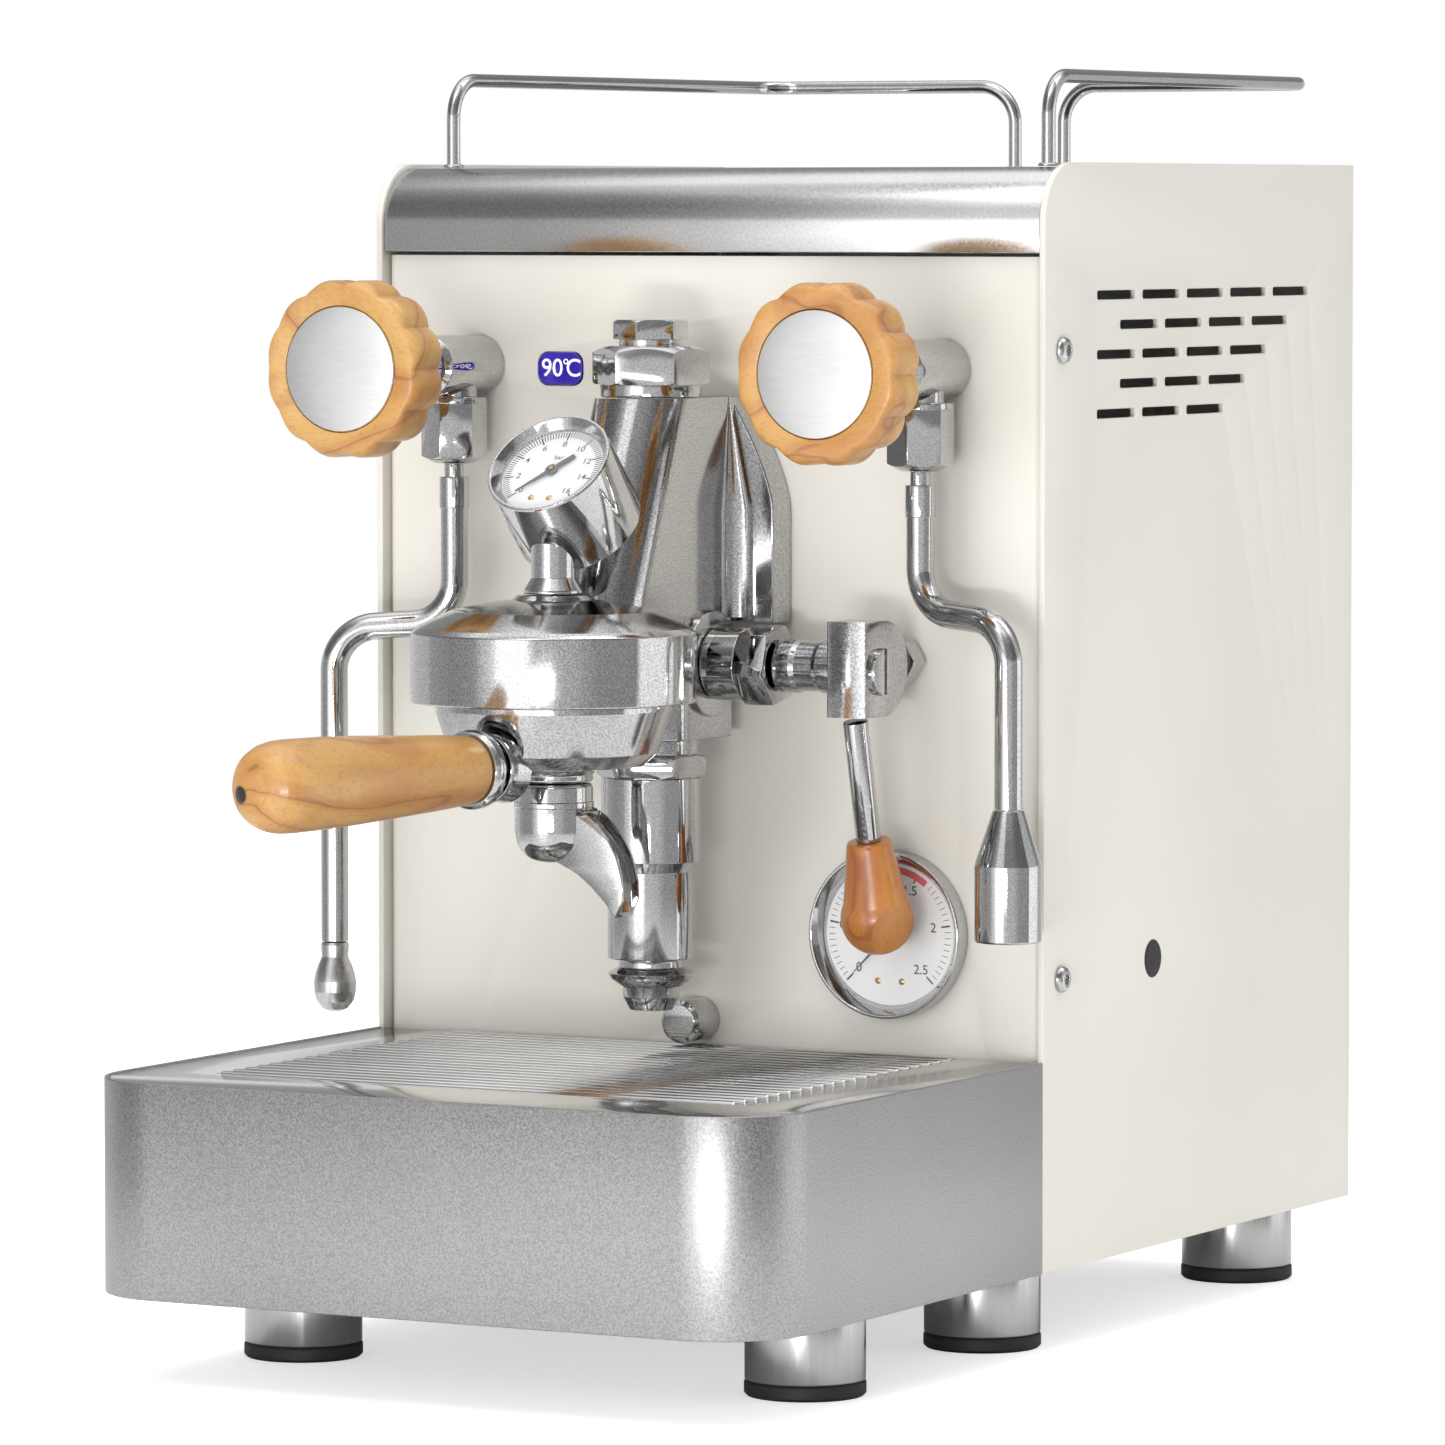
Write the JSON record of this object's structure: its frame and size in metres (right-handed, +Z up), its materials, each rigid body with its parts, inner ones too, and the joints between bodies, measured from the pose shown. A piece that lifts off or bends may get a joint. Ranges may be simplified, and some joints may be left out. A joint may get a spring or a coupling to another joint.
{
  "type": "espresso machine",
  "caption": "Boxy lever-group espresso machine with steam and hot water wands, two gauges, sliding drip drawer and lift-out rear water tank.",
  "frame": {"origin": "under the middle of the machine's length, on the casing's centre line, on the plane that the feet stand on", "axes": "+Z up, +Y towards the machine's back, +X to the right of someone facing it"},
  "size_m": [0.2785, 0.5212, 0.4324],
  "materials": {
    "cream_paint": "semi-gloss cream enamel",
    "brushed_steel": "brushed and bead-blasted",
    "polished_steel": "mirror-polished stainless steel",
    "satin_steel": "satin stainless steel",
    "chrome_plate": "bright chrome plate on brass",
    "copper_shell": "satin copper",
    "olive_wood": "oiled olive wood",
    "black_rubber": "matt black rubber",
    "dark_plastic": "matt black plastic",
    "display_blue": "glossy blue display window",
    "dial_white": "matt printed dial",
    "gauge_glass": "clear flat glass",
    "needle_grey": "satin dark paint",
    "clear_tank": "clear tinted plastic"
  },
  "bodies": {
    "root": {"base_frame": "satin_steel", "side_cover_right": "cream_paint", "side_cover_left": "cream_paint", "front_panel": "cream_paint", "rear_panel": "cream_paint", "visor": "brushed_steel", "cup_tray": "satin_steel", "cup_rail_right": "chrome_plate", "cup_rail_left": "chrome_plate", "display": "display_blue", "group_body": "chrome_plate", "group_top_cap": "chrome_plate", "cam_gland": "chrome_plate", "lower_chamber": "chrome_plate", "group_gasket": "black_rubber", "shower_screen": "satin_steel", "drain_fitting": "chrome_plate", "boiler_gauge": "chrome_plate", "pump_gauge": "chrome_plate", "steam_valve": "chrome_plate", "water_valve": "chrome_plate", "boiler": "copper_shell", "pump": "dark_plastic", "control_box": "dark_plastic", "power_inlet": "dark_plastic", "foot_front_left": "polished_steel", "foot_front_right": "polished_steel", "foot_middle_left": "polished_steel", "foot_middle_right": "polished_steel", "foot_rear_left": "polished_steel", "foot_rear_right": "polished_steel", "cover_screw_upper_left": "chrome_plate", "cover_screw_upper_right": "chrome_plate", "cover_screw_lower_left": "chrome_plate", "cover_screw_lower_right": "chrome_plate"},
    "drip_drawer": {"tray_housing": "brushed_steel", "drip_tray": "polished_steel", "drip_grate": "satin_steel"},
    "water_tank": {"water_tank": "clear_tank"},
    "tank_lid": {"tank_lid": "satin_steel"},
    "brew_lever": {"lever_head": "chrome_plate", "lever_rod": "chrome_plate", "lever_bolt": "chrome_plate", "lever_knob": "olive_wood"},
    "portafilter": {"portafilter": "chrome_plate", "handle_ferrule": "chrome_plate", "handle_grip": "olive_wood", "filter_basket": "satin_steel", "spout": "chrome_plate"},
    "steam_knob": {"steam_knob": "olive_wood", "steam_knob_cap": "brushed_steel"},
    "water_knob": {"water_knob": "olive_wood", "water_knob_cap": "brushed_steel"},
    "steam_wand": {"steam_wand": "chrome_plate", "steam_tip": "satin_steel"},
    "water_wand": {"water_wand": "chrome_plate", "water_nozzle": "chrome_plate"},
    "boiler_gauge_needle": {"boiler_gauge_needle": "needle_grey"},
    "pump_gauge_needle": {"pump_gauge_needle": "needle_grey"},
    "power_rocker": {"power_rocker": "dark_plastic"}
  },
  "joints": [
    {"name": "drip_drawer_slide", "type": "slide", "parent": "root", "child": "drip_drawer", "axis": [0, -1, 0], "range_m": [0, 0.19]},
    {"name": "water_tank_lift", "type": "slide", "parent": "root", "child": "water_tank", "axis": [0, 0, 1], "range_m": [0, 0.35]},
    {"name": "tank_lid_lift", "type": "slide", "parent": "water_tank", "child": "tank_lid", "axis": [0, 0, 1], "range_m": [0, 0.08]},
    {"name": "brew_lever_hinge", "type": "hinge", "parent": "root", "child": "brew_lever", "pos_m": [0, -0.03002, 0.2325], "axis": [1, 0, 0], "range_deg": [-105, 0]},
    {"name": "portafilter_turn", "type": "hinge", "parent": "root", "child": "portafilter", "pos_m": [0, -0.10532, 0.203], "axis": [0, 0, 1], "range_deg": [-45, 0]},
    {"name": "steam_knob_turn", "type": "hinge", "parent": "root", "child": "steam_knob", "pos_m": [-0.09, -0.09202, 0.3315], "axis": [0, -1, 0], "range_deg": [0, 270]},
    {"name": "water_knob_turn", "type": "hinge", "parent": "root", "child": "water_knob", "pos_m": [0.09, -0.09202, 0.3315], "axis": [0, -1, 0], "range_deg": [0, 270]},
    {"name": "steam_wand_swing", "type": "hinge", "parent": "root", "child": "steam_wand", "pos_m": [-0.09, -0.01602, 0.298], "axis": [0, 0, 1], "range_deg": [0, 90]},
    {"name": "water_wand_swing", "type": "hinge", "parent": "root", "child": "water_wand", "pos_m": [0.09, -0.01602, 0.298], "axis": [0, 0, 1], "range_deg": [-60, 0]},
    {"name": "boiler_gauge_needle_turn", "type": "hinge", "parent": "root", "child": "boiler_gauge_needle", "pos_m": [0.0712, -0.00652, 0.141], "axis": [0, 1, 0], "range_deg": [0, 270]},
    {"name": "pump_gauge_needle_turn", "type": "hinge", "parent": "root", "child": "pump_gauge_needle", "pos_m": [0, -0.10902, 0.302], "axis": [0, 0.712, -0.7022], "range_deg": [0, 270]},
    {"name": "power_rocker_tilt", "type": "hinge", "parent": "root", "child": "power_rocker", "pos_m": [0.07, 0.25558, 0.0804], "axis": [1, 0, 0], "range_deg": [0, 20]}
  ]
}
